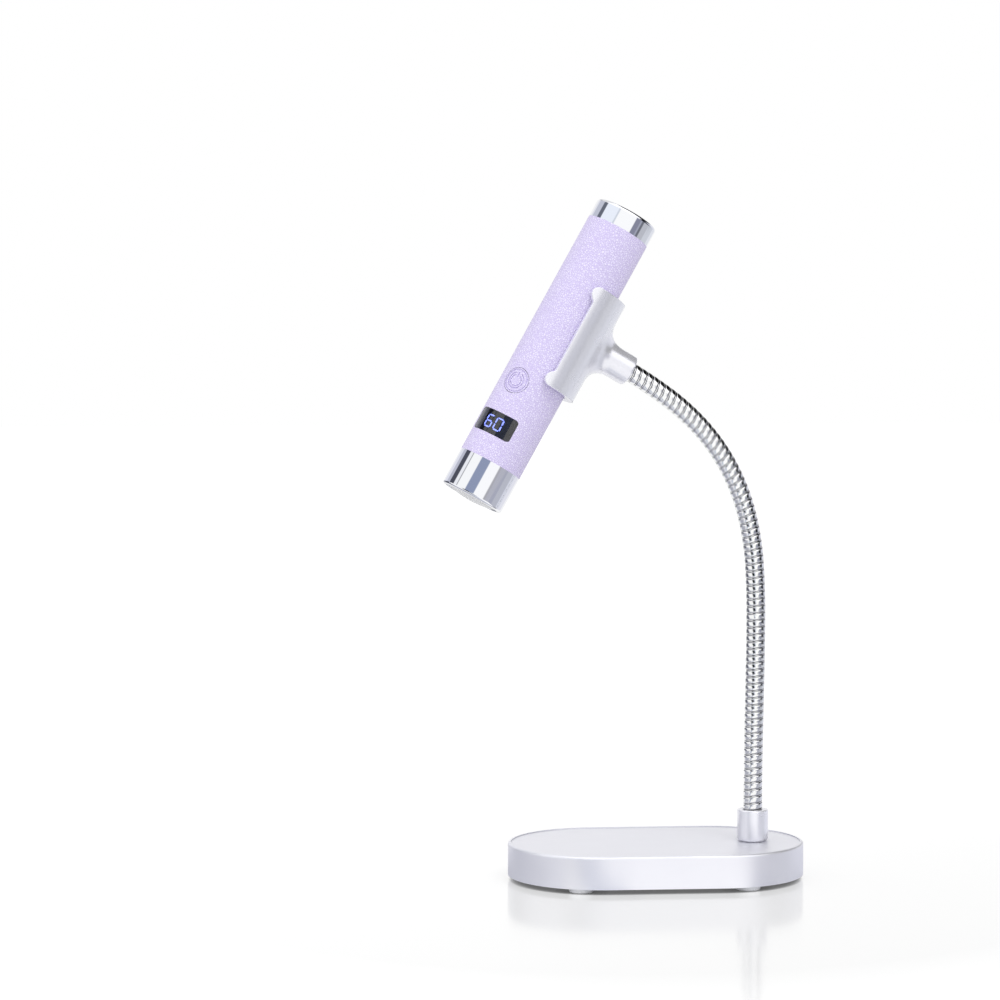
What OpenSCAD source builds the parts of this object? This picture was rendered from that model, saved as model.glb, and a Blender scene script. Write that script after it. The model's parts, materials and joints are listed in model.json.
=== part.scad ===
// Rechargeable UV LED nail lamp: a torch held in a spring clip, on a gooseneck, on a weighted base.
// Millimetres, +Z up. The origin lies on the table, at the middle of the lamp's outline seen from
// above. +X points from the lens end of the torch towards the neck; -Y is the lamp's front.

/* [Base] */
// End-to-end length of the base
base_length = 115; // [90:1:150]
// Front-to-back width of the base
base_width = 71; // [50:1:90]
// Height of the base without its feet
base_height = 12.6; // [9:0.2:20]
// Height of the feet under the base
foot_height = 2; // [1:0.1:4]
// Diameter of one foot
foot_diameter = 9.5; // [6:0.5:14]
// Middle of the base, measured along X from the middle of the lamp's outline
base_x = 13.2; // [0:0.1:30]
// Height of the thin rim that stands above the top plate
rim_height = 0.4; // [0.2:0.1:1]

/* [Neck] */
// Outside diameter of the gooseneck
neck_diameter = 7.6; // [5:0.5:10]
// Distance from the middle of the base to the neck
neck_x = 38; // [20:0.5:45]
// How far the neck is turned towards the front
neck_turn = 10.2; // [-30:0.1:30]
// Angle the neck has leaned over by at its upper end
neck_bend = 60.2; // [0:0.1:90]
// Number of rigid links that stand in for the flexible hose
link_count = 9; // [5:1:12]
// Length of one link from pivot to pivot
link_length = 19.7; // [12:0.1:30]
// Height of the first pivot above the table
first_pivot_z = 33; // [28:0.5:45]
// Outside diameter of the socket on the base and of the clip's stem
socket_diameter = 12; // [9:0.5:16]
// Height of the socket on the base
socket_height = 12.4; // [8:0.2:20]

/* [Clip] */
// Length of the clip along the torch
clip_length = 42; // [30:0.5:60]
// How far the middle of the clip sits from its stem, towards the tail of the torch
clip_shift = -1; // [-5:0.1:5]
// Half angle the ears wrap round the torch, from the stem
ear_wrap = 95; // [91:1:110]
// Width of one ear along the torch
ear_width = 5.4; // [3:0.1:8]
// Distance from the torch's axis to the end of the stem
stem_reach = 30.4; // [25:0.1:40]

/* [Torch] */
// Outside diameter of the torch
torch_diameter = 25; // [20:0.5:30]
// Length of the torch without the lens's dome
torch_length = 123.5; // [110:1:140]
// Distance from the stem's axis down to the middle of the torch
torch_drop = 10.4; // [-10:0.1:20]
// Length of the chrome bezel at the lens end
bezel_length = 14.8; // [10:0.1:25]
// Length of the chrome cap at the tail end
cap_length = 7.6; // [4:0.1:12]
// Angle of the display and button round the torch, from the stem towards the front
face_angle = 137; // [110:1:180]

/* [Display and button] */
// Size of the display window along the torch
window_height = 9; // [6:0.2:14]
// Straight-across width of the display window
window_width = 17; // [12:0.2:20]
// Distance from the middle of the torch down to the middle of the window
window_drop = 33.4; // [25:0.1:40]
// Distance from the middle of the torch down to the middle of the button
button_drop = 15.4; // [8:0.1:20]
// Diameter of the button
button_diameter = 10; // [7:0.1:14]
// Height of the digits
digit_height = 5.1; // [3:0.1:7]
// Width of one digit
digit_width = 3.2; // [2:0.1:5]
// Number shown, as two digits
shown_number = [6, 0];

/* [Hidden] */
$fn = 64;
eps = 0.01;
fit = 0.05;

// Base levels, from the table up
base_top = foot_height + base_height;
cover_top = foot_height + 1.2;
plate_top = base_top - rim_height;
plate_bottom = plate_top - 1.2;
deck_bottom = plate_bottom - 1.4;
half_straight = (base_length - base_width) / 2;
base_r = base_width / 2;
wall = 1.6;
foot_spots = [for (x = [-32, 32], y = [-27, 27]) [x, y]];
screw_spots = [for (x = [-14, 14], y = [-26, 26]) [x, y]];

// Neck and its fixings
neck_r = neck_diameter / 2;
socket_r = socket_diameter / 2;
socket_bore_depth = 7.5;
socket_top = plate_top + socket_height;
neck_seat = socket_top - socket_bore_depth;
stud_r = 3;
nut_height = 4;
washer_height = 1;
ball_gap = 0.3;
link_start = 2;
stem_bore_depth = 8;

// The hose stands straight for straight_links links, then bends over the next curve_links links
straight_links = 3.57;
curve_links = 6.06;
sway = 1.24;

// Torch levels, along its own axis from its middle
torch_r = torch_diameter / 2;
head_z = -torch_length / 2;
tail_z = torch_length / 2;
sleeve_bottom = head_z + bezel_length;
sleeve_top = tail_z - cap_length;
leather = 1;
tube_wall = 1.1;
tube_r = torch_r - leather - 0.02;
tube_bore_r = tube_r - tube_wall;
spigot_r = tube_bore_r - fit;
spigot_length = 5;
lens_seat_r = 10.8;
lens_seat_z = head_z + 2.8;
stack_r = 10.1;
sink_height = 4;
led_board_height = 1.5;
led_board_z = sleeve_bottom - sink_height - led_board_height;
window_z = -window_drop;
button_z = -button_drop;
button_r = button_diameter / 2;
board_depth = 4.4;
board_thickness = 1.2;
board_face = board_depth + board_thickness;
battery_r = 9.1;
battery_bottom = -5;
battery_length = 50;
charge_board_z = sleeve_top - 2.4;
port_width = 9;
port_height = 3.2;

// Clip
clip_bore_r = torch_r + 0.08;
clip_outer_r = 15.4;
clip_offset = 0.9;
clip_back = clip_offset + clip_outer_r;
edge_x = 1.0;
flare_r = 5;

leather_color = [0.84, 0.78, 0.95];
satin_color = [0.85, 0.85, 0.89];
chrome_color = [0.86, 0.87, 0.9];
steel_color = [0.7, 0.71, 0.73];
board_color = [0.1, 0.35, 0.2];

// ---------- where things are ----------

function smooth(t) = let (c = max(0, min(1, t))) c * c * (3 - 2 * c);

// Lean of link k towards -X, in degrees
function link_lean(k) =
    let (middle = k + 0.5)
    neck_bend * smooth((middle - straight_links) / curve_links)
        - (middle < straight_links ? sway * sin(180 * middle / straight_links) : 0);

function along(lean) = [-sin(lean), cos(lean)];

// Place of pivot k in the neck's own upright plane, as [across, up]
function pivot(k) = k == 0 ? [0, first_pivot_z] : pivot(k - 1) + link_length * along(link_lean(k - 1));

neck_end = pivot(link_count);
tip_length = 7.6;
clip_centre = neck_end + (tip_length + stem_reach) * along(neck_bend);

// The neck's upright plane
module in_neck_plane() {
    translate([base_x + neck_x, 0, 0]) rotate([0, 0, neck_turn]) children();
}

// Link k's own frame: Z runs along the link, from its lower pivot
module at_link(k) {
    in_neck_plane() translate([pivot(k)[0], 0, pivot(k)[1]]) rotate([0, -link_lean(k), 0]) children();
}

// The clip's frame: Z runs along the torch to its tail, X runs out along the stem
module at_clip() {
    in_neck_plane() translate([clip_centre[0], 0, clip_centre[1]]) rotate([0, 90 - neck_bend, 0]) children();
}

// The torch's frame: the same directions, from the middle of the torch
module at_torch() {
    at_clip() translate([0, 0, -torch_drop]) children();
}

// X runs out of the torch through the display and button, Z along the torch, from height z
module at_face(z) {
    at_torch() rotate([0, 0, -face_angle]) translate([0, 0, z]) children();
}

module at_base() {
    translate([base_x, 0, 0]) children();
}

// ---------- shapes used more than once ----------

// A solid with rounded ends, from half of its cross-section: across in X, up in Y
module obround() {
    for (side = [-1, 1]) {
        translate([side * half_straight, 0, 0]) rotate_extrude() children();
    }
    rotate([90, 0, 90]) translate([0, 0, -half_straight]) linear_extrude(2 * half_straight) {
        children();
        mirror([1, 0, 0]) children();
    }
}

module obround_slab(r, bottom, top) {
    obround() translate([0, bottom]) square([r, top - bottom]);
}

// A ring or disc about Z
module disc(r, bottom, top, bore = 0) {
    rotate_extrude() translate([bore, bottom]) square([r - bore, top - bottom]);
}

// Half of a square with its outer corners at the given end rounded, for turning
module rounded_half(r, bottom, top, round_top = 0, round_bottom = 0) {
    difference() {
        translate([0, bottom]) square([r, top - bottom]);
        if (round_top > 0) corner_cut(r, top, round_top, 1);
        if (round_bottom > 0) corner_cut(r, bottom, round_bottom, -1);
    }
}

module corner_cut(r, level, radius, side) {
    translate([r - radius, side > 0 ? level - radius : level]) difference() {
        translate([0, side > 0 ? 0 : -eps]) square([radius + eps, radius + eps]);
        translate([0, side > 0 ? 0 : radius]) circle(radius);
    }
}

// A flat plate of rounded rectangle shape, drawn from its middle
module rounded_plate(width, height, thickness, corner) {
    linear_extrude(thickness) {
        square([width - 2 * corner, height], center = true);
        square([width, height - 2 * corner], center = true);
        for (x = [-1, 1], y = [-1, 1]) {
            translate([x * (width / 2 - corner), y * (height / 2 - corner)]) circle(corner);
        }
    }
}

// A prism that runs out of the torch's face, wide across Y and tall along Z
module face_prism(width, height, corner, start, end) {
    translate([start, 0, 0]) rotate([90, 0, 90]) rounded_plate(width, height, end - start, corner);
}

// A round peg that runs out of the torch's face
module face_peg(r, start, end) {
    translate([start, 0, 0]) rotate([0, 90, 0]) cylinder(r = r, h = end - start);
}

// The openings through leather and tube for the display and the button
module face_openings() {
    rotate([0, 0, -face_angle]) {
        translate([0, 0, window_z]) face_prism(window_width, window_height, 1.2, board_face, torch_r + 1);
        translate([0, 0, button_z]) face_peg(button_r + 0.2, board_face, torch_r + 1);
    }
}

// ---------- base ----------

module base_shell() {
    color(satin_color) at_base() difference() {
        obround() rounded_half(base_r, foot_height, base_top, round_top = 1);
        obround_slab(base_r - 1.2, plate_bottom, base_top + 1);
        difference() {
            obround_slab(base_r - wall, foot_height - 1, deck_bottom);
            for (spot = screw_spots) translate(spot) disc(3, cover_top, deck_bottom + 1);
        }
        for (spot = screw_spots) translate(spot) disc(1.5, cover_top - 1, deck_bottom - 1);
        translate([neck_x, 0]) disc(stud_r + 0.1, deck_bottom - 1, plate_bottom + 1);
    }
}

module base_top_plate() {
    color(satin_color) at_base() difference() {
        obround_slab(base_r - 1.2 - fit, plate_bottom, plate_top);
        translate([neck_x, 0]) disc(stud_r + 0.1, plate_bottom - 1, plate_top + 1);
    }
}

module base_weight() {
    color(steel_color) at_base() difference() {
        obround_slab(base_r - wall - 0.4, cover_top, deck_bottom - 0.1);
        for (spot = screw_spots) translate(spot) disc(3.5, cover_top - 1, deck_bottom);
        translate([neck_x, 0]) disc(9, cover_top - 1, deck_bottom);
    }
}

module base_bottom_cover() {
    color(steel_color) at_base() difference() {
        obround_slab(base_r - wall - 0.1, foot_height, cover_top);
        for (spot = screw_spots) translate(spot) {
            disc(1.7, foot_height - 1, cover_top + 1);
            screw_cone(0.05);
        }
    }
}

// The cone under a countersunk head, with its wide end at the underside of the base
module screw_cone(clearance) {
    translate([0, 0, foot_height - eps])
        cylinder(r1 = 2.8 + clearance, r2 = 1.45 + clearance, h = 1.1);
}

module cover_screws() {
    color(steel_color) at_base() for (spot = screw_spots) translate(spot) difference() {
        union() {
            translate([0, 0, eps]) screw_cone(0);
            disc(1.45, foot_height, cover_top + 5);
        }
        for (turn = [0, 90]) {
            rotate([0, 0, turn]) translate([-1.2, -0.25, foot_height - 1]) cube([2.4, 0.5, 1.6]);
        }
    }
}

module feet() {
    color([0.93, 0.94, 0.96]) at_base() for (spot = foot_spots) translate(spot) {
        rotate_extrude() rounded_half(foot_diameter / 2, 0, foot_height, round_bottom = 0.7);
    }
}

// ---------- neck ----------

module neck_socket() {
    color(satin_color) in_neck_plane() difference() {
        rotate_extrude() rounded_half(socket_r, plate_top, socket_top, round_top = 0.5, round_bottom = 1.4);
        disc(neck_r + fit, neck_seat, socket_top + 1);
        disc(stud_r + fit, plate_top - 1, neck_seat + 1);
    }
}

module neck_stud() {
    color(steel_color) in_neck_plane() {
        disc(stud_r, deck_bottom - washer_height - nut_height - 1, neck_seat - 0.1);
    }
}

module neck_washer() {
    color(steel_color) in_neck_plane() disc(7.5, deck_bottom - washer_height, deck_bottom, stud_r + 0.2);
}

module neck_nut() {
    color(steel_color) in_neck_plane() translate([0, 0, deck_bottom - washer_height - nut_height]) difference() {
        cylinder(r = 10 / 2 / cos(30), h = nut_height, $fn = 6);
        translate([0, 0, -1]) cylinder(r = stud_r + fit, h = nut_height + 2);
    }
}

// A length of hose from start to end, with a ball on its upper end when ball is true
module hose(start, end, ball, cup) {
    rotate_extrude() intersection() {
        translate([0, start - neck_r]) square([2 * neck_r, end - start + 3 * neck_r]);
        difference() {
            union() {
                translate([0, start]) square([neck_r, end - start]);
                if (ball) translate([0, end]) circle(neck_r);
            }
            if (cup) circle(neck_r + ball_gap);
        }
    }
}

module neck_root() {
    color(chrome_color) in_neck_plane() translate([0, 0, first_pivot_z]) {
        hose(neck_seat - first_pivot_z, 0, true, false);
    }
}

module neck_link(k) {
    color(chrome_color) at_link(k) hose(link_start, link_length, true, true);
}

module neck_tip() {
    color(chrome_color) at_clip() translate([stem_reach + tip_length, 0, 0]) rotate([0, -90, 0]) {
        hose(link_start, tip_length + stem_bore_depth - 0.1, false, true);
    }
}

module neck_top_stud() {
    color(steel_color) at_clip() translate([stem_reach - stem_bore_depth, 0, 0]) rotate([0, -90, 0]) {
        disc(2.5, 0, 4.8);
    }
}

// ---------- clip ----------

// The clip's C-shaped section, open towards -X
module clip_section() {
    difference() {
        translate([clip_offset, 0]) circle(clip_outer_r, $fn = 96);
        circle(clip_bore_r, $fn = 96);
        polygon([
            [0, 0],
            3 * clip_outer_r * [cos(ear_wrap), sin(ear_wrap)],
            [-4 * clip_outer_r, 0],
            3 * clip_outer_r * [cos(ear_wrap), -sin(ear_wrap)]
        ]);
    }
}

// The clip seen from its side: X out along the stem, Y along the torch. The front edge steps
// back between two rounded ears
module clip_side() {
    bottom = clip_shift - clip_length / 2;
    top = clip_shift + clip_length / 2;
    ear_r = ear_width / 2;
    ear_x = clip_outer_r * cos(ear_wrap) + ear_r;
    inner = bottom + ear_width;
    translate([edge_x, bottom]) square([clip_back, clip_length]);
    for (flip = [0, 1]) translate([0, flip * (bottom + top)]) mirror([0, flip]) {
        translate([ear_x, bottom + ear_r]) circle(ear_r);
        translate([ear_x, bottom]) square([clip_back, ear_width]);
        difference() {
            translate([edge_x - 1.2, inner - eps]) square([1.3, 1.2]);
            translate([edge_x - 1.2, inner + 1.2]) circle(1.2);
        }
    }
}

// The round stem, flared where it leaves the clip
module clip_stem() {
    rotate([0, 90, 0]) rotate_extrude() difference() {
        square([socket_r + flare_r, stem_reach]);
        translate([socket_r + flare_r, clip_back - 1 + flare_r]) circle(flare_r);
        translate([socket_r, clip_back - 1 + flare_r]) square([flare_r + 1, stem_reach]);
    }
}

module torch_clip() {
    color(satin_color) at_clip() difference() {
        union() {
            intersection() {
                translate([0, 0, clip_shift - clip_length / 2]) linear_extrude(clip_length) clip_section();
                rotate([90, 0, 0]) translate([0, 0, -2 * clip_outer_r]) linear_extrude(4 * clip_outer_r) {
                    clip_side();
                }
            }
            intersection() {
                clip_stem();
                translate([0, -20, -20]) cube([40, 40, 40]);
            }
        }
        cylinder(r = clip_bore_r, h = 2 * clip_length, center = true, $fn = 96);
        translate([stem_reach - stem_bore_depth, 0, 0]) rotate([0, 90, 0]) {
            cylinder(r = neck_r + fit, h = stem_bore_depth + 1);
        }
        translate([stem_reach - stem_bore_depth - 5, 0, 0]) rotate([0, 90, 0]) cylinder(r = 2.5 + fit, h = 6);
    }
}

// ---------- torch body ----------

module leather_sleeve() {
    color(leather_color) at_torch() difference() {
        disc(torch_r, sleeve_bottom, sleeve_top, torch_r - leather);
        face_openings();
    }
}

module torch_tube() {
    color(steel_color) at_torch() difference() {
        disc(tube_r, sleeve_bottom, sleeve_top, tube_bore_r);
        face_openings();
    }
}

module head_bezel() {
    color(chrome_color) at_torch() rotate_extrude() difference() {
        union() {
            rounded_half(torch_r, head_z, sleeve_bottom, round_bottom = 0.9);
            translate([0, sleeve_bottom - eps]) square([spigot_r, spigot_length + eps]);
        }
        translate([0, head_z - 1]) square([lens_seat_r, lens_seat_z - head_z + 1]);
        translate([0, lens_seat_z - 1]) square([stack_r, sleeve_bottom - lens_seat_z + 1]);
        translate([0, sleeve_bottom - 1]) square([9.2, spigot_length + 2]);
    }
}

module lens() {
    dome_height = 1.1;
    dome_base = head_z + 0.6;
    rim_r = lens_seat_r - fit;
    rise = dome_base - head_z + dome_height;
    dome_r = (rim_r * rim_r + rise * rise) / (2 * rise);
    color([0.8, 0.85, 0.95, 0.5]) at_torch() rotate_extrude() {
        translate([0, dome_base]) square([rim_r, lens_seat_z - 0.6 - dome_base]);
        intersection() {
            translate([0, dome_base - rise]) square([rim_r, rise]);
            translate([0, dome_base - rise + dome_r]) circle(dome_r, $fn = 128);
        }
    }
}

module lens_gasket() {
    color([0.2, 0.2, 0.22]) at_torch() disc(lens_seat_r - fit, lens_seat_z - 0.6, lens_seat_z, 9.6);
}

module reflector() {
    low = lens_seat_z;
    high = led_board_z - 0.05;
    color(chrome_color) at_torch() rotate_extrude() difference() {
        translate([0, low]) square([stack_r - fit, high - low]);
        polygon([[-1, low - 1], [9.5, low - 1], [9.4, low], [8.6, low + 2], [6.6, high - 2], [3.4, high + 1], [-1, high + 1]]);
    }
}

module led_board() {
    color(board_color) at_torch() disc(stack_r - fit, led_board_z, led_board_z + led_board_height);
}

module uv_led() {
    color([0.6, 0.6, 0.9]) at_torch() {
        translate([-1.75, -1.75, led_board_z - 1]) cube([3.5, 3.5, 1]);
        translate([0, 0, led_board_z - 1.8]) cylinder(r = 1.4, h = 0.8 + eps);
    }
}

module heat_sink() {
    color([0.8, 0.65, 0.4]) at_torch() disc(stack_r - fit, led_board_z + led_board_height, sleeve_bottom);
}

module tail_cap() {
    color(chrome_color) at_torch() difference() {
        rotate_extrude() difference() {
            union() {
                rounded_half(torch_r, sleeve_top, tail_z, round_top = 1.2);
                translate([0, sleeve_top - spigot_length]) square([spigot_r, spigot_length + eps]);
            }
            translate([0, sleeve_top - spigot_length - 1]) square([9.4, spigot_length + cap_length - 1]);
        }
        translate([0, 0, tail_z - 3]) rounded_plate(port_width + 0.3, port_height + 0.3, 4, port_height / 2 + 0.1);
    }
}

// ---------- display and button ----------

module face_shell(outer, inner) {
    difference() {
        cylinder(r = outer, h = window_height, center = true, $fn = 96);
        cylinder(r = inner, h = window_height + 2, center = true, $fn = 96);
    }
}

module display_window() {
    color([0.05, 0.05, 0.08, 0.8]) at_face(window_z) intersection() {
        face_shell(torch_r - 0.05, torch_r - 0.9);
        face_prism(window_width - 0.1, window_height - 0.1, 1.15, board_face, torch_r + 1);
    }
}

module display_module() {
    color([0.04, 0.04, 0.05]) at_face(window_z) intersection() {
        cylinder(r = torch_r - 1.1, h = window_height, center = true, $fn = 96);
        face_prism(window_width - 2, window_height - 0.8, 0.6, board_face, torch_r + 1);
    }
}

// Seven bars, each [across, up, upright]: places in half-widths and half-heights
bars = [[0, 1, 0], [1, 0.5, 1], [1, -0.5, 1], [0, -1, 0], [-1, -0.5, 1], [-1, 0.5, 1], [0, 0, 0]];
// Which bars each numeral lights
lit = [
    [0, 1, 2, 3, 4, 5], [1, 2], [0, 1, 6, 4, 3], [0, 1, 6, 2, 3], [5, 6, 1, 2],
    [0, 5, 6, 2, 3], [0, 5, 6, 4, 3, 2], [0, 1, 2], [0, 1, 2, 3, 4, 5, 6], [0, 1, 2, 3, 5, 6]
];
bar_width = 0.5;

module digit_bar(bar) {
    half_w = (digit_width - bar_width) / 2;
    half_h = (digit_height - bar_width) / 2;
    end = (bar[2] == 1 ? half_h / 2 : half_w) - 0.15;
    side = bar_width / 2;
    translate([bar[0] * half_w, bar[1] * half_h]) rotate(bar[2] * 90) polygon([
        [-end, 0], [side - end, side], [end - side, side], [end, 0], [end - side, -side], [side - end, -side]
    ]);
}

module display_digits() {
    spacing = digit_width + 1;
    color([0.6, 0.7, 1]) at_face(window_z) intersection() {
        face_shell(torch_r - 0.95, torch_r - 1.08);
        translate([board_face, 0, 0]) rotate([90, 0, 90]) linear_extrude(torch_r) {
            for (place = [0, 1]) translate([(place - 0.5) * spacing, 0]) {
                for (index = lit[shown_number[place]]) digit_bar(bars[index]);
            }
        }
    }
}

module control_board() {
    board_bottom = window_z - 9;
    board_top = battery_bottom - 3;
    color(board_color) at_face(0) translate([board_depth, -8, board_bottom]) {
        cube([board_thickness, 16, board_top - board_bottom]);
    }
}

module icon_ring(r, line) {
    difference() {
        circle(r + line / 2);
        circle(r - line / 2);
    }
}

// The power sign pressed into the button: a ring, an open ring and a bar
module power_sign() {
    line = 0.4;
    icon_ring(4.4, line);
    for (r = [2.2, 3.1]) difference() {
        icon_ring(r, line);
        translate([-1.1, 0]) square([2.2, 4]);
    }
    translate([-line / 2, 0.9]) square([line, 2.4]);
}

module power_button() {
    flange_top = 8.25;
    sign_depth = 0.3;
    color(leather_color) at_face(button_z) difference() {
        union() {
            intersection() {
                face_peg(button_r, flange_top - eps, torch_r + 1);
                cylinder(r = torch_r, h = 2 * button_diameter, center = true, $fn = 96);
            }
            face_peg(6.1, flange_top - 0.7, flange_top);
        }
        intersection() {
            translate([flange_top, 0, 0]) rotate([90, 0, 90]) linear_extrude(torch_r) power_sign();
            difference() {
                cylinder(r = torch_r + 1, h = 2 * button_diameter, center = true, $fn = 96);
                cylinder(r = torch_r - sign_depth, h = 3 * button_diameter, center = true, $fn = 96);
            }
        }
    }
}

module button_switch() {
    color([0.25, 0.25, 0.27]) at_face(button_z) {
        translate([board_face, -2.5, -2.5]) cube([1, 5, 5]);
        face_peg(1.2, board_face + 1 - eps, board_face + 1.45);
    }
}

// ---------- power ----------

module battery_cell() {
    color([0.3, 0.45, 0.6]) at_torch() {
        disc(battery_r, battery_bottom, battery_bottom + battery_length);
    }
}

module battery_tabs() {
    color(steel_color) at_torch() {
        for (level = [battery_bottom - 0.35, battery_bottom + battery_length + 0.05]) {
            translate([-4, -2.5, level]) cube([8, 5, 0.3]);
        }
    }
}

module charge_board() {
    color(board_color) at_torch() disc(9.3, charge_board_z, charge_board_z + 1.2);
}

module usb_socket() {
    bottom = charge_board_z + 1.2;
    color(steel_color) at_torch() difference() {
        translate([0, 0, bottom]) rounded_plate(port_width, port_height, tail_z - 0.3 - bottom, port_height / 2 - 0.05);
        translate([0, 0, bottom + 1.5]) {
            rounded_plate(port_width - 0.6, port_height - 0.6, 20, port_height / 2 - 0.35);
        }
    }
    color([0.1, 0.1, 0.1]) at_torch() {
        translate([-3.2, -0.35, bottom + 1.5 - eps]) cube([6.4, 0.7, tail_z - bottom - 2.8]);
    }
}

// ---------- what to draw ----------

base_shell();
base_top_plate();
base_weight();
base_bottom_cover();
cover_screws();
feet();
neck_socket();
neck_stud();
neck_washer();
neck_nut();
neck_root();
neck_link(0);  // neck_link_1
neck_link(1);  // neck_link_2
neck_link(2);  // neck_link_3
neck_link(3);  // neck_link_4
neck_link(4);  // neck_link_5
neck_link(5);  // neck_link_6
neck_link(6);  // neck_link_7
neck_link(7);  // neck_link_8
neck_link(8);  // neck_link_9
neck_tip();
neck_top_stud();
torch_clip();
leather_sleeve();
torch_tube();
head_bezel();
lens();
lens_gasket();
reflector();
led_board();
uv_led();
heat_sink();
display_window();
display_module();
display_digits();
control_board();
power_button();
button_switch();
battery_cell();
battery_tabs();
charge_board();
usb_socket();
tail_cap();
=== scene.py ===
"""The looks of a UV LED nail lamp: a leather-covered torch in a clip on a gooseneck."""

import json
import math

import bpy
import numpy as np
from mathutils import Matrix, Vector


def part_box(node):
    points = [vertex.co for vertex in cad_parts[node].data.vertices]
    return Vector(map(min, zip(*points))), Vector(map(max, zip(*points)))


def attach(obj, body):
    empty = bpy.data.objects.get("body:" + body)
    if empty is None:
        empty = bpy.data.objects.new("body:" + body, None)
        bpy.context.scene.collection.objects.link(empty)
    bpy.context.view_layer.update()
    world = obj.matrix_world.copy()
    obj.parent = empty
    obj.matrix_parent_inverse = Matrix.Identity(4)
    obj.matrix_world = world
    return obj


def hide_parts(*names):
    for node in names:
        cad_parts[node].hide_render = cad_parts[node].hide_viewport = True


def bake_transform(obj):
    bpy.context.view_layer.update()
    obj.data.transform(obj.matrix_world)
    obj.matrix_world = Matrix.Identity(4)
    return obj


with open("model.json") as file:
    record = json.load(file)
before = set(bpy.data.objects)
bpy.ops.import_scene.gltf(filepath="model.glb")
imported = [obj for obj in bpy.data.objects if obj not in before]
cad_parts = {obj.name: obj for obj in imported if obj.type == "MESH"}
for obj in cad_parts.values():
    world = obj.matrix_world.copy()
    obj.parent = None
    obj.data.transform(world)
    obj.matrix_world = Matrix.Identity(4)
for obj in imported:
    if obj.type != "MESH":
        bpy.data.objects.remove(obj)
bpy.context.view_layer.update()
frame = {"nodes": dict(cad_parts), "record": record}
MM = 0.001

# ---------- where things are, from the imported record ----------

record = frame["record"]
joints = {joint["name"]: joint for joint in record["behaviour"]["joints"]}
neck_joints = [joint for name, joint in joints.items() if name.startswith("neck_")]
pivots = [Vector(joint["pos_m"]) for joint in neck_joints]
tail_axis = Vector(joints["torch_slide"]["axis"]).normalized()


def box_centre(node):
    low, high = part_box(node)
    return (Vector(low) + Vector(high)) / 2


torch_centre = box_centre("battery_cell")
stem_out = pivots[-1] - torch_centre
stem_out = (stem_out - tail_axis * stem_out.dot(tail_axis)).normalized()


# ---------- camera ----------

def direction(azimuth, elevation):
    """The unit vector from the scene towards a viewer at that azimuth and elevation."""
    a, e = math.radians(azimuth), math.radians(elevation)
    return Vector((math.sin(a) * math.cos(e), -math.cos(a) * math.cos(e), math.sin(e)))


CAMERA_DISTANCE = 1.3
CAMERA_TARGET = Vector((-0.0475, 0, 0.1477))
FOCAL_LENGTH = 121.7
SENSOR_WIDTH = 36
towards_camera = direction(-4.82, 3.78)


def add_camera():
    data = bpy.data.cameras.new("camera")
    data.lens = FOCAL_LENGTH
    data.sensor_width = SENSOR_WIDTH
    data.clip_start = 0.01
    data.clip_end = 50
    camera = bpy.data.objects.new("camera", data)
    camera.location = CAMERA_TARGET + towards_camera * CAMERA_DISTANCE
    camera.rotation_euler = (-towards_camera).to_track_quat("-Z", "Y").to_euler()
    bpy.context.collection.objects.link(camera)
    bpy.context.scene.camera = camera


# ---------- colours ----------

def srgb(r, g, b):
    """A linear colour from its 0-255 screen values."""
    def linear(c):
        c /= 255
        return c / 12.92 if c <= 0.04045 else ((c + 0.055) / 1.055) ** 2.4
    return (linear(r), linear(g), linear(b))


def grey(value):
    return srgb(value, value, value)


def rgba(colour):
    return (*colour, 1.0)


# ---------- node helpers ----------

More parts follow.
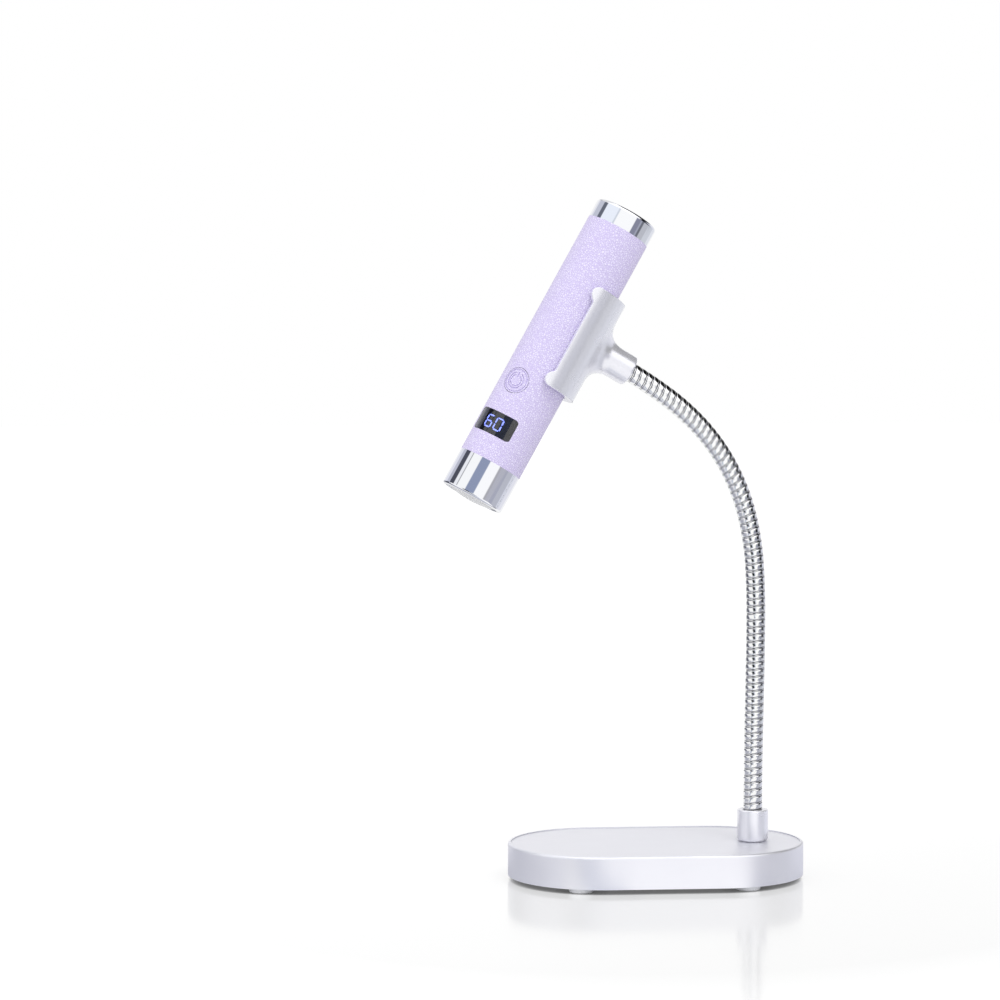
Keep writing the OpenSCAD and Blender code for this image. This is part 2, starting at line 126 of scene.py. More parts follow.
class Nodes:
    """Short calls that add nodes to one tree and link them."""

    def __init__(self, tree):
        self.tree = tree

    def add(self, kind, inputs=(), **settings):
        node = self.tree.nodes.new("ShaderNode" + kind)
        for name, value in settings.items():
            setattr(node, name, value)
        for key, value in dict(inputs).items():
            self.set(node, key, value)
        return node

    def set(self, node, key, value):
        """Link a node's input to another node's output, or give it a constant."""
        socket = node.inputs[key]
        if isinstance(value, bpy.types.NodeSocket):
            self.tree.links.new(value, socket)
        elif socket.type == "RGBA":
            socket.default_value = rgba(value)
        else:
            socket.default_value = value

    def math(self, operation, a, b=0.0):
        return self.add("Math", {0: a, 1: b}, operation=operation).outputs[0]

    def dot(self, vector, constant):
        inputs = {0: vector, 1: tuple(constant)}
        return self.add("VectorMath", inputs, operation="DOT_PRODUCT").outputs["Value"]

    def mix_colour(self, factor, a, b):
        """Colour a where the factor is 0, b where it is 1."""
        return self.add("Mix", {0: factor, 6: a, 7: b}, data_type="RGBA").outputs[2]

    def mix_shader(self, factor, a, b):
        """Shader a where the factor is 0, b where it is 1."""
        return self.add("MixShader", {0: factor, 1: a, 2: b}).outputs[0]

    def glow(self, colour):
        """A surface that shows a colour just as it is."""
        return self.add("Emission", {"Color": colour}).outputs[0]

    def ramp(self, factor, stops):
        """A colour ramp from (position, colour) pairs."""
        node = self.add("ValToRGB", {0: factor})
        elements = node.color_ramp.elements
        while len(elements) < len(stops):
            elements.new(0.5)
        for element, (position, colour) in zip(elements, stops):
            element.position = position
            element.color = rgba(colour)
        return node.outputs[0]

    def split_ramp(self, factor, stops):
        """A ramp of any number of stops, as two ramps that meet at the middle stop."""
        middle = len(stops) // 2
        first = self.ramp(factor, stops[:middle + 1])
        second = self.ramp(factor, stops[middle:])
        past = self.math("GREATER_THAN", factor, stops[middle][0])
        return self.mix_colour(past, first, second)

    def range(self, value, low, high):
        """value, which runs from 0 to 1, mapped to low..high."""
        return self.add("MapRange", {0: value, 3: low, 4: high}).outputs[0]

    def step(self, value, low, high):
        """0 up to low, 1 from high on, and a straight ramp in between."""
        return self.add("MapRange", {0: value, 1: low, 2: high}).outputs[0]

    def openness(self, reach):
        """1 where nothing stands within reach of the surface, falling to 0 deep in a gap."""
        return self.add("AmbientOcclusion", {"Distance": reach}).outputs["AO"]

    def here(self):
        """The place on the piece itself, in metres."""
        return self.add("TexCoord").outputs["Object"]

    def noise(self, size, detail=2.0, roughness=0.5):
        """Soft noise with features of about that size in metres, from 0 to 1."""
        inputs = {"Vector": self.here(), "Scale": 1 / size, "Detail": detail, "Roughness": roughness}
        return self.add("TexNoise", inputs).outputs[0]

    def bump(self, height, distance, strength):
        inputs = {"Height": height, "Distance": distance, "Strength": strength}
        return self.add("Bump", inputs).outputs[0]


def new_material(name, **constants):
    """A material, its nodes, and its Principled shader with those inputs set."""
    material = bpy.data.materials.new(name)
    material.use_nodes = True
    nodes = Nodes(material.node_tree)
    shader = material.node_tree.nodes["Principled BSDF"]
    for key, value in constants.items():
        nodes.set(shader, key.replace("_", " ").title().replace("Ior", "IOR"), value)
    return material, nodes, shader


# ---------- materials ----------

def satin_metal(name, roughness, metallic):
    """Fine sandblasted metal under a thin silver paint, with a painted reflection: its colour is a
    little darker where other mirrors see it.
    """
    material, nodes, shader = new_material(name, metallic=metallic)
    cloud = nodes.noise(0.012, 3)
    grain = nodes.noise(0.00022, 2, 0.6)
    colour = nodes.mix_colour(cloud, srgb(243, 243, 250), srgb(249, 249, 255))
    # Painted reflection: wherever the metal is seen in a mirror, such as the polished floor, it takes a
    # darker colour than it has under the lamps.
    seen_in_mirror_painted_darker = nodes.add("LightPath").outputs["Is Glossy Ray"]
    nodes.set(shader, "Base Color", nodes.mix_colour(seen_in_mirror_painted_darker, colour, srgb(205, 205, 212)))
    nodes.set(shader, "Roughness", nodes.range(cloud, roughness - 0.03, roughness + 0.04))
    nodes.set(shader, "Normal", nodes.bump(grain, 0.000012, 0.5))
    return material


def chrome():
    """Mirror plating with a little haze and wiping marks."""
    material, nodes, shader = new_material("chrome", metallic=1.0, base_color=srgb(250, 251, 255))
    haze = nodes.noise(0.006, 4, 0.6)
    nodes.set(shader, "Roughness", nodes.range(haze, 0.015, 0.06))
    nodes.set(shader, "Normal", nodes.bump(nodes.noise(0.003, 2), 0.000004, 0.2))
    return material


def hose_chrome():
    """Bright drawn wire, with painted shade: its colour darkens down in the grooves of its coil."""
    material, nodes, shader = new_material("hose_chrome", metallic=1.0)
    cloud = nodes.noise(0.0015, 3)
    polished = nodes.mix_colour(cloud, grey(246), grey(255))
    # Painted shade: where the coils close in round a point, the colour falls to dark grey, down in the
    # grooves.
    crown_and_painted_shade = nodes.step(nodes.openness(1.2 * MM), 0.15, 0.9)
    nodes.set(shader, "Base Color", nodes.mix_colour(crown_and_painted_shade, grey(60), polished))
    nodes.set(shader, "Roughness", nodes.range(cloud, 0.08, 0.15))
    return material


def leather():
    """Pebbled lavender leather: raised cells, thin creases coloured darker as painted shade, fine pores.
    """
    material, nodes, shader = new_material(
        "leather", specular_ior_level=0.45, sheen_weight=0.15, sheen_roughness=0.4
    )
    unevenness = nodes.add("TexNoise", {"Vector": nodes.here(), "Scale": 900}).outputs[1]
    warp = {0: 0.0006, 4: nodes.here(), 5: unevenness}
    warped = nodes.add("Mix", warp, data_type="VECTOR").outputs[1]
    spread = {"Vector": warped, "Scale": 1250}
    cells = nodes.add("TexVoronoi", spread, feature="DISTANCE_TO_EDGE").outputs[0]
    rise = {0: cells, 1: 0.0, 2: 0.32}
    crown_and_painted_shade = nodes.add("MapRange", rise, interpolation_type="SMOOTHSTEP").outputs[0]
    pores = nodes.noise(0.00018, 3, 0.6)
    body = nodes.mix_colour(nodes.noise(0.004, 3), srgb(226, 219, 247), srgb(232, 227, 251))
    # Painted shade: the creases between the cells take a darker lilac than the crowns.
    nodes.set(shader, "Base Color", nodes.mix_colour(crown_and_painted_shade, srgb(200, 189, 229), body))
    nodes.set(shader, "Roughness", nodes.range(crown_and_painted_shade, 0.6, 0.36))
    height = nodes.math("ADD", crown_and_painted_shade, nodes.math("MULTIPLY", pores, 0.25))
    nodes.set(shader, "Normal", nodes.bump(height, 0.00009, 0.85))
    return material


def turned_metal(name, colour, roughness, size=0.0004):
    """Plain machined or plated metal with a soft grain."""
    material, nodes, shader = new_material(name, metallic=1.0)
    grain = nodes.noise(size, 3, 0.6)
    dark = tuple(c * 0.82 for c in colour)
    nodes.set(shader, "Base Color", nodes.mix_colour(grain, dark, colour))
    nodes.set(shader, "Roughness", nodes.range(grain, roughness - 0.06, roughness + 0.08))
    nodes.set(shader, "Normal", nodes.bump(grain, 0.000015, 0.5))
    return material


def moulded_plastic(name, colour, roughness):
    """Moulded plastic or rubber with a fine spark-eroded grain."""
    material, nodes, shader = new_material(name)
    grain = nodes.noise(0.0003, 3, 0.6)
    dark = tuple(c * 0.85 for c in colour)
    nodes.set(shader, "Base Color", nodes.mix_colour(grain, dark, colour))
    nodes.set(shader, "Roughness", nodes.range(grain, roughness - 0.05, roughness + 0.08))
    nodes.set(shader, "Normal", nodes.bump(grain, 0.00002, 0.4))
    return material


def clear_silicone():
    """Soft milky silicone of the feet."""
    material, nodes, shader = new_material("clear_silicone", transmission_weight=0.15, ior=1.41)
    cloud = nodes.noise(0.0015, 3)
    nodes.set(shader, "Base Color", nodes.mix_colour(cloud, srgb(232, 234, 240), srgb(246, 247, 250)))
    nodes.set(shader, "Roughness", nodes.range(cloud, 0.35, 0.5))
    return material


def lens_glass():
    """Frosted lens that lets the LED behind it show faintly."""
    material, nodes, shader = new_material(
        "lens_glass", transmission_weight=0.35, ior=1.49, base_color=srgb(248, 249, 253)
    )
    nodes.set(shader, "Roughness", nodes.range(nodes.noise(0.004, 3), 0.22, 0.3))
    return material


def smoked_window():
    """Dark glossy window over the digits."""
    material, nodes, shader = new_material(
        "smoked_window", transmission_weight=1.0, ior=1.5, base_color=srgb(112, 110, 132),
        coat_weight=1.0, coat_ior=1.5, coat_roughness=0.02,
    )
    nodes.set(shader, "Roughness", nodes.range(nodes.noise(0.003, 4), 0.02, 0.06))
    return material


def digit_light():
    """Lit blue segments of the display."""
    material, nodes, shader = new_material(
        "digit_light", base_color=srgb(190, 205, 255), emission_strength=8.0
    )
    glow = nodes.mix_colour(nodes.noise(0.0006, 2), srgb(132, 158, 255), srgb(182, 200, 255))
    nodes.set(shader, "Emission Color", glow)
    nodes.set(shader, "Roughness", nodes.range(nodes.noise(0.001, 2), 0.4, 0.5))
    return material


def circuit_board():
    """Green solder mask with paler tracks under it."""
    material, nodes, shader = new_material("circuit_board")
    colours = {"Color1": srgb(28, 104, 62), "Color2": srgb(34, 116, 70), "Mortar": srgb(70, 150, 96)}
    tracks = nodes.add("TexBrick", {"Vector": nodes.here(), "Scale": 500, **colours})
    nodes.set(shader, "Base Color", tracks.outputs[0])
    nodes.set(shader, "Roughness", nodes.range(nodes.noise(0.0006, 3), 0.3, 0.45))
    return material


def led_emitter():
    """Yellow phosphor under the LED's clear dome."""
    material, nodes, shader = new_material("led_emitter", coat_weight=0.8)
    speckle = nodes.noise(0.0002, 3)
    nodes.set(shader, "Base Color", nodes.mix_colour(speckle, srgb(214, 196, 92), srgb(236, 222, 140)))
    nodes.set(shader, "Roughness", nodes.range(speckle, 0.3, 0.5))
    return material


MATERIALS = {
    "satin_metal": satin_metal("satin_metal", 0.42, 0.7),
    "satin_fine": satin_metal("satin_fine", 0.26, 0.62),
    "chrome": chrome(),
    "hose_chrome": hose_chrome(),
    # Near-black colour of the tube inside the coils: painted shade between them
    "hose_gap": turned_metal("hose_gap", srgb(38, 38, 42), 0.6),
    "leather": leather(),
    "clear_silicone": clear_silicone(),
    "lens_glass": lens_glass(),
    "smoked_window": smoked_window(),
    "digit_light": digit_light(),
    "circuit_board": circuit_board(),
    "led_emitter": led_emitter(),
    "cast_weight": turned_metal("cast_weight", srgb(120, 120, 124), 0.6, 0.0012),
    "plain_steel": turned_metal("plain_steel", srgb(205, 207, 212), 0.35),
    "tube_aluminium": turned_metal("tube_aluminium", srgb(215, 216, 220), 0.35),
    "heat_sink_brass": turned_metal("heat_sink_brass", srgb(226, 196, 128), 0.35),
    "reflector_metal": turned_metal("reflector_metal", srgb(242, 242, 246), 0.12, 0.001),
    "nickel": turned_metal("nickel", srgb(210, 207, 196), 0.3),
    "port_steel": turned_metal("port_steel", srgb(205, 206, 212), 0.28),
    "black_rubber": moulded_plastic("black_rubber", srgb(34, 34, 37), 0.65),
    "display_black": moulded_plastic("display_black", srgb(16, 16, 19), 0.5),
    "switch_plastic": moulded_plastic("switch_plastic", srgb(48, 48, 52), 0.5),
    "battery_sleeve": moulded_plastic("battery_sleeve", srgb(60, 104, 168), 0.35),
}


def dress_cad_nodes():
    """Every CAD node takes the material of its slot, and the turned socket a finer one."""
    for part in record["subparts"]:
        finish = "satin_fine" if part["node"] == "neck_socket" else part["material_slot"]
        node = frame["nodes"][part["node"]]
        node.data.materials.clear()
        node.data.materials.append(MATERIALS[finish])


# ---------- mesh helpers ----------

def add_piece(name, verts, faces, slot, sharp_angle):
    """A smooth-shaded mesh object that takes its finish from a slot of the record."""
    mesh = bpy.data.meshes.new(name)
    mesh.from_pydata([tuple(v) for v in verts], [], faces)
    mesh.materials.append(MATERIALS[slot])
    mesh.shade_smooth()
    mesh.set_sharp_from_angle(angle=math.radians(sharp_angle))
    piece = bpy.data.objects.new(name, mesh)
    bpy.context.collection.objects.link(piece)
    return piece


def tube_faces(vert_count, sides):
    """Faces of an open tube whose verts are rings of that many sides, one after the other."""
    faces = []
    for ring in range(vert_count // sides - 1):
        for side in range(sides):
            a = ring * sides + side
            b = ring * sides + (side + 1) % sides
            faces.append((a, b, b + sides, a + sides))
    return faces


def joined(meshes):
    """One mesh's verts and faces from those of several."""
    verts = []
    faces = []
    for more_verts, more_faces in meshes:
        faces += [tuple(v + len(verts) for v in face) for face in more_faces]
        verts += more_verts
    return verts, faces


def read_vectors(mesh, name):
    """One vector of a mesh's vertices as rows of an array."""
    values = np.empty(len(mesh.vertices) * 3)
    mesh.vertices.foreach_get(name, values)
    return values.reshape(-1, 3)


def bake_modifiers(piece):
    """Turn a piece's modifiers into its mesh."""
    done = piece.evaluated_get(bpy.context.evaluated_depsgraph_get())
    mesh = bpy.data.meshes.new_from_object(done)
    piece.modifiers.clear()
    piece.data = mesh


# ---------- gooseneck ----------

def mirrored(half):
    """A wire's whole outline from its half, which starts in the middle of its outer side."""
    return half + [(away, -along) for away, along in reversed(half[1:])]


# Outlines of the round wire, worn a little flat by its rollers, and of the flat wire wound
# between its coils, as (out from the hose's axis, along it) in mm
ROUND_WIRE = mirrored([(3.8, 0.0), (3.795, 0.62), (3.77, 0.86), (3.67, 1.03), (3.4, 1.1), (3.0, 1.1)])
FLAT_WIRE = mirrored([(3.68, 0.0), (3.66, 0.16), (3.46, 0.22), (2.7, 0.12)])
COIL_PITCH = 2.75 * MM
RINGS_PER_TURN = 24
TRAIL_STEPS = 60
# The dark tube inside the coils, which stands for the shade down between them
SHADE_TUBE_RADIUS = 2.75 * MM
SHADE_TUBE_SIDES = 16
SHADE_TUBE_RING_GAP = 4


def bezier(a, b, c, t):
    """Point and unit tangent of the curve from a to c that b bends."""
    point = a * (1 - t) ** 2 + b * 2 * t * (1 - t) + c * t ** 2
    tangent = (b - a) * (1 - t) + (c - b) * t
    return point, tangent.normalized()


def hose_ends():
    """Where the hose's sections meet: the middle of each link, and an end inside each fitting."""
    half = (pivots[1] - pivots[0]).length / 2
    middles = [(a + b) / 2 for a, b in zip(pivots, pivots[1:])]
    return [pivots[0] - Vector((0, 0, half))] + middles + [pivots[-1] - stem_out * half]


def hose_trail():
    """Close points along the hose: ((point, tangent), section)."""
    ends = hose_ends()
    trail = []
    for section, pivot in enumerate(pivots):
        for step in range(TRAIL_STEPS):
            trail.append((bezier(ends[section], pivot, ends[section + 1], step / TRAIL_STEPS), section))
    trail.append((bezier(ends[-2], pivots[-1], ends[-1], 1.0), len(pivots) - 1))
    return trail


def hose_rings():
    """Evenly spaced rings along the hose: (point, tangent, turn angle, section)."""
    trail = hose_trail()
    gap = COIL_PITCH / RINGS_PER_TURN
    rings = []
    travelled = 0.0
    wanted = 0.0
    for (now, section), (after, _) in zip(trail, trail[1:]):
        stride = (after[0] - now[0]).length
        while wanted <= travelled + stride:
            t = (wanted - travelled) / stride
            point = now[0].lerp(after[0], t)
            tangent = now[1].lerp(after[1], t).normalized()
            turn = 2 * math.pi * len(rings) / RINGS_PER_TURN
            rings.append((point, tangent, turn, section))
            wanted += gap
        travelled += stride
    return rings


def section_rings(rings, section):
    """A section's own rings and the next one's first, so that the two meet."""
    places = [place for place, ring in enumerate(rings) if ring[3] == section]
    return rings[places[0]:places[-1] + 2]


def wire(rings, outline, sideways, offset):
    """Verts and faces of a wire of that outline, wound along the rings."""
    verts = []
    for point, tangent, turn, _ in rings:
        inwards = sideways.cross(tangent)
        out = inwards * math.cos(turn + offset) + sideways * math.sin(turn + offset)
        verts += [point + (out * away + tangent * along) * MM for away, along in outline]
    return verts, tube_faces(len(verts), len(outline))


def shade_tube(rings, sideways):
    """Verts and faces of a dark tube inside the coils, painted shade seen down between them."""
    verts = []
    for point, tangent, _, _ in rings[::SHADE_TUBE_RING_GAP] + [rings[-1]]:
        inwards = sideways.cross(tangent)
        for side in range(SHADE_TUBE_SIDES):
            angle = 2 * math.pi * side / SHADE_TUBE_SIDES
            out = inwards * math.cos(angle) + sideways * math.sin(angle)
            verts.append(point + out * SHADE_TUBE_RADIUS)
    return verts, tube_faces(len(verts), SHADE_TUBE_SIDES)


def hose_nodes(section):
    """The CAD nodes that a section of hose stands for."""
    if section == 0:
        return ["neck_root"]
    if section == len(neck_joints) - 1:
        return [f"neck_link_{section}", "neck_tip"]
    return [f"neck_link_{section}"]


def add_hose():
    """The double coil of the gooseneck, in sections, each curved round one pivot."""
    sideways = Vector(neck_joints[0]["axis"]).normalized()
    rings = hose_rings()
    for section, joint in enumerate(neck_joints):
        mine = section_rings(rings, section)
        coils = joined([wire(mine, ROUND_WIRE, sideways, 0.0), wire(mine, FLAT_WIRE, sideways, math.pi)])
        verts, faces = joined([coils, shade_tube(mine, sideways)])
        piece = add_piece(f"gooseneck_section_{section + 1}", verts, faces, "hose_chrome", 60)
        # The tube inside the coils takes the near-black colour of painted shade
        piece.data.materials.append(MATERIALS["hose_gap"])
        for face in piece.data.polygons[len(coils[1]):]:
            face.material_index = 1
        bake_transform(piece)
        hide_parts(*hose_nodes(section))


# ---------- clip ----------

# The clip's own axes start where the stem's axis meets the torch's: reach runs out along the
# stem, along runs with the torch, and aside across both. Its bore is round the torch's axis,
# and its round back is set a little further out along the stem.
CLIP_BORE = 12.6 * MM
CLIP_BACK = 15.4 * MM
CLIP_BACK_OFFSET = 0.9 * MM
STEM_RADIUS = 6 * MM
STEM_START = 8 * MM
STEM_END = 28 * MM
# Fillets where the stem meets the back, in front and at its sides
FRONT_FILLET = 4.5 * MM
SIDE_FILLET = 8.0 * MM
# How the remeshed clip is drawn back onto its exact faces: which points belong to the bore's
# lining, to the wall outside it, and to the outer face, and how far off that face the shading
# passes from the exact surface's to the mesh's own
CLIP_VOXEL = 0.35 * MM
CLIP_SMOOTHING = 6
LINING_DEPTH = 0.4 * MM
WALL_DEPTH = 1 * MM
NEAR_FACE = 0.25 * MM
EXACT_TO_OWN = (0.08 * MM, 0.28 * MM)
SETTLING_ROUNDS = 12
SETTLING_SHARE = 0.7
SLOPE_STEP = 0.01 * MM
LEAST_STEEPNESS = 0.1


def clip_axes():
    """The point where the clip's axes meet, and the axes themselves as rows."""
    root = torch_centre + tail_axis * (pivots[-1] - torch_centre).dot(tail_axis)
    return np.array(root), np.array([stem_out, tail_axis, stem_out.cross(tail_axis)])


def stem_and_back(points):
    """How far points lie outside the clip's round back and its stem, blended where they meet."""
    reach, along, aside = points.T
    back = np.hypot(reach - CLIP_BACK_OFFSET, aside) - CLIP_BACK
    stem = np.hypot(along, aside) - STEM_RADIUS
    beside = along ** 2 / np.maximum(along ** 2 + aside ** 2, MM ** 2)
    fillet = FRONT_FILLET + (SIDE_FILLET - FRONT_FILLET) * beside
    overlap = np.maximum(fillet - np.abs(back - stem), 0) / fillet
    return np.minimum(back, stem) - overlap ** 2 * fillet / 4


def outward_slope(points):
    """Gradient of stem_and_back at each point."""
    value = stem_and_back(points)
    ahead = [stem_and_back(points + SLOPE_STEP * axis) for axis in np.eye(3)]
    return np.stack([(there - value) / SLOPE_STEP for there in ahead], axis=1)


def on_outer_face(points):
    """Which points belong to the clip's outer side rather than to its bore or its stem's end."""
    reach, _, aside = points.T
    return (np.hypot(reach, aside) > CLIP_BORE + WALL_DEPTH) & (reach < STEM_END)


def run_stem_in(points):
    """Move the points of the clip's outer face onto the blended surface of back and stem."""
    reach, along, aside = points.T
    beside_stem = (np.hypot(along, aside) < STEM_RADIUS + SIDE_FILLET) & (reach > STEM_START)
    moved = on_outer_face(points) & (beside_stem | (np.abs(stem_and_back(points)) < NEAR_FACE))
    surface = points[moved]
    for _ in range(SETTLING_ROUNDS):
        slope = outward_slope(surface)
        steepness = np.maximum((slope ** 2).sum(axis=1), LEAST_STEEPNESS)
        surface = surface - slope * (stem_and_back(surface) / steepness)[:, None] * SETTLING_SHARE
    points = points.copy()
    points[moved] = surface
    return points


def open_bore(points):
    """Put the points that line the bore back on its radius."""
    reach, along, aside = points.T
    radius = np.hypot(reach, aside)
    lining = radius < CLIP_BORE + LINING_DEPTH
    scale = np.where(lining, CLIP_BORE / np.maximum(radius, MM), 1.0)
    return points * np.stack([scale, np.ones_like(scale), scale], axis=1)


def move_points(piece, move):
    """Put a piece's mesh points where the function says, in the clip's own axes."""
    root, axes = clip_axes()
    points = (read_vectors(piece.data, "co") - root) @ axes.T
    piece.data.vertices.foreach_set("co", (move(points) @ axes + root).ravel())
    piece.data.update()


def shade_outer_face(piece):
    """Shade the outer face by its exact surface, so that it takes the light evenly."""
    root, axes = clip_axes()
    points = (read_vectors(piece.data, "co") - root) @ axes.T
    own = read_vectors(piece.data, "normal") @ axes.T
    exact = outward_slope(points)
    exact /= np.linalg.norm(exact, axis=1)[:, None]
    share = np.interp(np.abs(stem_and_back(points)), EXACT_TO_OWN, (1, 0)) * on_outer_face(points)
    normals = (exact * share[:, None] + own * (1 - share[:, None])) @ axes
    normals /= np.linalg.norm(normals, axis=1)[:, None]
    piece.data.normals_split_custom_set_from_vertices(normals.tolist())


def add_clip():
    """The cast clip, with its edges rounded and its stem run smoothly into its back."""
    piece = bpy.data.objects.new("clip", frame["nodes"]["torch_clip"].data.copy())
    bpy.context.collection.objects.link(piece)
    remesh = piece.modifiers.new("remesh", "REMESH")
    remesh.mode = "VOXEL"
    remesh.voxel_size = CLIP_VOXEL
    bake_modifiers(piece)
    move_points(piece, run_stem_in)
    rounding = piece.modifiers.new("rounding", "SMOOTH")
    rounding.iterations = CLIP_SMOOTHING
    bake_modifiers(piece)
    move_points(piece, open_bore)
    piece.data.materials.clear()
    piece.data.materials.append(MATERIALS["satin_fine"])
    piece.data.shade_smooth()
    shade_outer_face(piece)
    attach(piece, "clip")
    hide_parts("torch_clip")


# ---------- studio ----------

# The studio's white and grey cards, as mirrors on the lamp see them: where each card ends, in
# degrees round the lamp from the camera, and its colour. HEAD and TAIL stand beside the torch,
# at its lens end and its tail. The others show away from it: LEVEL with the lamp, MID and HIGH
# further up, and FLOOR in the floor near the base. LEVEL and MID begin with the cards of LEFT.
HEAD_CARDS = [
    (-150, grey(246)), (-131, srgb(226, 227, 236)), (-113, srgb(188, 190, 203)),
    (-88, srgb(78, 80, 92)), (-72, srgb(238, 239, 242)), (-68, srgb(150, 151, 155)),
    (-29, srgb(250, 251, 250)), (3, srgb(142, 152, 178)), (36, srgb(253, 253, 253)),
    (43, srgb(172, 172, 178)), (93, srgb(179, 180, 190)), (121, srgb(211, 213, 224)),
    (150, srgb(228, 228, 235)), (180, grey(246)),
]
TAIL_CARDS = [
    (-150, grey(246)), (-138, srgb(226, 227, 233)), (-107, srgb(194, 197, 209)),
    (-85, srgb(102, 107, 119)), (-25, srgb(237, 242, 250)), (-19, srgb(208, 214, 223)),
    (39, srgb(254, 254, 253)), (57, srgb(134, 136, 154)), (63, srgb(162, 165, 180)),
    (72, srgb(110, 112, 122)), (95, srgb(186, 188, 195)), (126, srgb(206, 209, 216)),
    (150, srgb(226, 228, 234)), (180, grey(246)),
]
LEFT_CARDS = [
    (-165, grey(234)), (-140, srgb(150, 152, 162)), (-112, srgb(60, 62, 72)),
    (-100, srgb(188, 190, 203)), (-44, grey(250)), (-16, srgb(16, 17, 22)),
    (-8, srgb(190, 196, 212)),
]
LEVEL_CARDS = LEFT_CARDS + [
    (57, grey(255)), (91, srgb(36, 37, 46)), (104, srgb(176, 178, 188)),
    (121, srgb(211, 213, 224)), (150, srgb(228, 228, 235)), (180, grey(234)),
]
FLOOR_CARDS = [
    (-125, grey(250)), (-112, srgb(214, 215, 224)), (-58, srgb(170, 172, 184)),
    (-46, srgb(198, 200, 210)), (-34, grey(240)), (-14, srgb(184, 190, 206)),
    (48, grey(255)), (64, srgb(168, 170, 184)), (95, srgb(184, 186, 196)),
    (121, srgb(211, 213, 224)), (150, srgb(228, 228, 235)), (180, grey(246)),
]
MID_CARDS = LEFT_CARDS + [
    (76, (1.2, 1.2, 1.22)), (82, grey(110)), (158, grey(26)), (180, grey(225)),
]
HIGH_CARDS = [
    (-100, grey(225)), (-10, (1.2, 1.2, 1.22)), (74, (1.4, 1.4, 1.42)), (80, grey(130)),
    (158, grey(14)), (180, grey(225)),
]
OVERHEAD = (1.7, 1.7, 1.75)
# Degrees over which one card blends into the next
CARD_EDGE = 2.5
# How much the level cards lean to the right below the horizon
CARD_LEAN = 0.2
# Where one set of cards gives way to the next: first by how far a direction points along the
# torch towards its tail, with TORCH_BAND in the middle of the torch's own directions, and then
# by how far it points up
HEAD_TO_TAIL = (0.10, 0.13)
TORCH_BAND = 0.13
TORCH_TO_LEVEL = (0.17, 0.2)
LEVEL_TO_MID = (0.22, 0.32)
MID_TO_HIGH = (0.55, 0.62)
HIGH_TO_OVERHEAD = (0.97, 0.99)


def card_stops(cards):
    """Colour ramp stops from -180 to 180 degrees, with a short blend at each card's edge."""
    stops = [(0.0, cards[0][1])]
    for (end, colour), (_, following) in zip(cards, cards[1:]):
        stops.append(((end - CARD_EDGE / 2 + 180) / 360, colour))
        stops.append(((end + CARD_EDGE / 2 + 180) / 360, following))
    stops.append((1.0, cards[-1][1]))
    return stops


def turn_from_camera(nodes, towards):
    """A direction's place on the cards' ramps, from 0 to 1 round the lamp."""
    front = Vector((towards_camera.x, towards_camera.y, 0)).normalized()
    right = Vector((-front.y, front.x, 0))
    angle = nodes.math("ARCTAN2", nodes.dot(towards, right), nodes.dot(towards, front))
    return nodes.math("ADD", nodes.math("DIVIDE", angle, 2 * math.pi), 0.5)


def studio_reflection(nodes, towards):
    """Colour that a glossy surface sees in a direction of the studio."""
    turn = turn_from_camera(nodes, towards)
    height = nodes.dot(towards, (0, 0, 1))
    head, tail, mid, high = [
        nodes.split_ramp(turn, card_stops(cards))
        for cards in (HEAD_CARDS, TAIL_CARDS, MID_CARDS, HIGH_CARDS)
    ]
    lean = nodes.math("MULTIPLY", nodes.math("MINIMUM", height, 0.0), CARD_LEAN)
    level = nodes.split_ramp(nodes.math("ADD", turn, lean), card_stops(LEVEL_CARDS))
    tailward = nodes.dot(towards, tail_axis)
    beside = nodes.mix_colour(nodes.step(tailward, *HEAD_TO_TAIL), head, tail)
    off_torch = nodes.math("ABSOLUTE", nodes.math("SUBTRACT", tailward, TORCH_BAND))
    past_torch = nodes.step(off_torch, *TORCH_TO_LEVEL)
    standing = nodes.mix_colour(nodes.step(height, *LEVEL_TO_MID), level, mid)
    low = nodes.mix_colour(past_torch, beside, standing)
    over_cards = nodes.math("MULTIPLY", nodes.step(height, *MID_TO_HIGH), past_torch)
    upper = nodes.mix_colour(over_cards, low, high)
    return nodes.mix_colour(nodes.step(height, *HIGH_TO_OVERHEAD), upper, OVERHEAD)


# The soft light's strength, and how much more of it comes from the bright side
AMBIENT = 0.93
AMBIENT_LEAN = 0.3
BRIGHT_SIDE = direction(-25, 25)


def add_world():
    """A white studio: cards for the reflections, soft white light for the rest."""
    world = bpy.data.worlds.new("studio")
    bpy.context.scene.world = world
    world.use_nodes = True
    world.node_tree.nodes.clear()
    nodes = Nodes(world.node_tree)
    towards = nodes.add("TexCoord").outputs["Generated"]
    path = nodes.add("LightPath")
    reflection = studio_reflection(nodes, towards)
    colour = nodes.mix_colour(path.outputs["Is Glossy Ray"], (1.0, 1.0, 1.0), reflection)
    lean = nodes.math("MULTIPLY", nodes.dot(towards, BRIGHT_SIDE), AMBIENT_LEAN)
    soft = nodes.math("ADD", lean, AMBIENT - 1.0)
    strength = nodes.math("ADD", nodes.math("MULTIPLY", path.outputs["Is Diffuse Ray"], soft), 1.0)
    background = nodes.add("Background", {"Color": colour, "Strength": strength})
    nodes.add("OutputWorld", {0: background.outputs[0]})


FLOOR_SIZE = 4.0
# Distances from the scene's origin over which the floor's polish fades out, and over which
# what it shows in mirrors passes from the near cards to the studio's own
POLISHED_TO_PLAIN = (0.18, 0.34)
NEAR_TO_FAR = (0.42, 0.52)
# How close above the floor a piece has to be to darken it with a painted contact shadow
GAP_REACH = 6 * MM


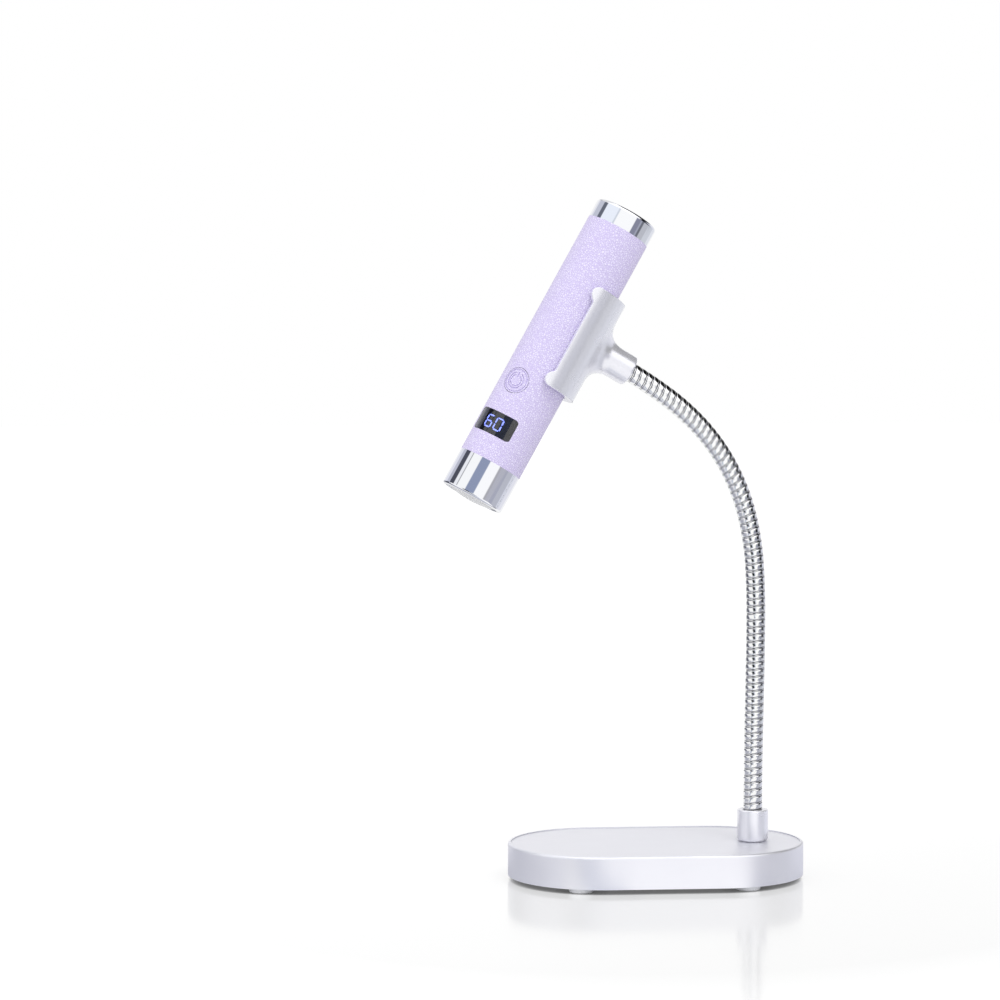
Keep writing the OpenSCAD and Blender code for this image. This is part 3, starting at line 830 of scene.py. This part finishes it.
def away_from(nodes, position, place):
    """Unit vector from a place to a point of the floor."""
    inputs = {0: position, 1: tuple(place)}
    offset = nodes.add("VectorMath", inputs, operation="SUBTRACT").outputs[0]
    return nodes.add("VectorMath", {0: offset}, operation="NORMALIZE").outputs[0]


def floor_reflection(nodes, position, distance):
    """Colour that a glossy surface sees in the floor, which continues the cards on it."""
    near_turn = turn_from_camera(nodes, away_from(nodes, position, box_centre("base_shell")))
    near = nodes.split_ramp(near_turn, card_stops(FLOOR_CARDS))
    far = studio_reflection(nodes, away_from(nodes, position, box_centre("head_bezel")))
    return nodes.mix_colour(nodes.step(distance, *NEAR_TO_FAR), near, far)


def floor_material():
    """White, polished round the lamp, and darkened in the gap under the base by a painted contact
    shadow.
    """
    material, nodes, shader = new_material(
        "floor", base_color=grey(150), emission_color=(1.0, 1.0, 1.0)
    )
    position = nodes.add("NewGeometry").outputs["Position"]
    distance = nodes.add("VectorMath", {0: position}, operation="LENGTH").outputs["Value"]
    plain = nodes.step(distance, *POLISHED_TO_PLAIN)
    nodes.set(shader, "Roughness", nodes.range(nodes.noise(0.3, 2), 0.1, 0.14))
    nodes.set(shader, "Specular IOR Level", nodes.range(plain, 0.5, 0.0))
    nodes.set(shader, "Emission Strength", nodes.range(plain, 0.44, 0.74))
    path = nodes.add("LightPath")
    lit = nodes.mix_shader(path.outputs["Is Diffuse Ray"], shader.outputs[0], nodes.glow(grey(250)))
    reflection = nodes.glow(floor_reflection(nodes, position, distance))
    seen = nodes.mix_shader(path.outputs["Is Glossy Ray"], lit, reflection)
    # Painted shadow: where something stands close above, as under the base, the floor shows a flat dark
    # grey.
    painted_shadow_mask = nodes.step(nodes.openness(GAP_REACH), 0.0, 0.5)
    shaded = nodes.mix_shader(painted_shadow_mask, nodes.glow(grey(50)), seen)
    nodes.set(material.node_tree.nodes["Material Output"], 0, shaded)
    return material


def add_floor():
    mesh = bpy.data.meshes.new("floor")
    corners = [(x * FLOOR_SIZE, y * FLOOR_SIZE, 0) for x, y in ((-1, -1), (1, -1), (1, 1), (-1, 1))]
    mesh.from_pydata(corners, [], [(0, 1, 2, 3)])
    mesh.materials.append(floor_material())
    floor = bpy.data.objects.new("floor", mesh)
    bpy.context.collection.objects.link(floor)


def add_sun(name, azimuth, elevation, softness, strength):
    """A soft distant light that shows in no mirror."""
    data = bpy.data.lights.new(name, "SUN")
    data.angle = math.radians(softness)
    data.energy = strength
    sun = bpy.data.objects.new(name, data)
    away = direction(azimuth, elevation)
    sun.location = away * 0.8
    sun.rotation_euler = (-away).to_track_quat("-Z", "Y").to_euler()
    sun.visible_glossy = False
    bpy.context.collection.objects.link(sun)


def add_studio():
    add_world()
    add_floor()
    add_sun("key", azimuth=30, elevation=58, softness=25, strength=0.8)
    bpy.context.scene.view_settings.view_transform = "Standard"


# ---------- the whole scene ----------

dress_cad_nodes()
add_hose()
add_clip()
add_studio()
add_camera()
